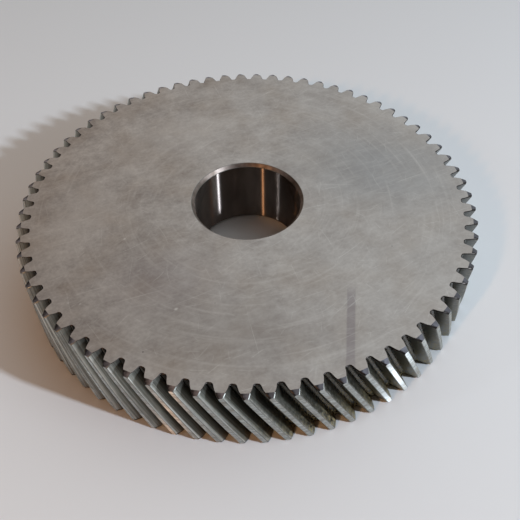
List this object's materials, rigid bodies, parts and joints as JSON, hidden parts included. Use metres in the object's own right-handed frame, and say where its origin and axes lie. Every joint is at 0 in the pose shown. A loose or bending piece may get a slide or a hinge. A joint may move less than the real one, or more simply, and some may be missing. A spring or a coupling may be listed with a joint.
{
  "type": "helical gear",
  "caption": "Solid disc gear with left-hand helical involute teeth round its rim and a smooth chamfered through bore for pressing onto a shaft.",
  "frame": {"origin": "on the gear's axis, at its lower face", "axes": "+Z along the gear's axis, towards the upper face; one tooth gap crosses +X at the lower face"},
  "size_m": [0.242, 0.242, 0.041],
  "materials": {
    "gear_steel": "satin machined faces, ground bore, hobbed flanks with old oil in the gaps"
  },
  "bodies": {
    "root": {"helical_gear": "gear_steel"}
  },
  "joints": []
}
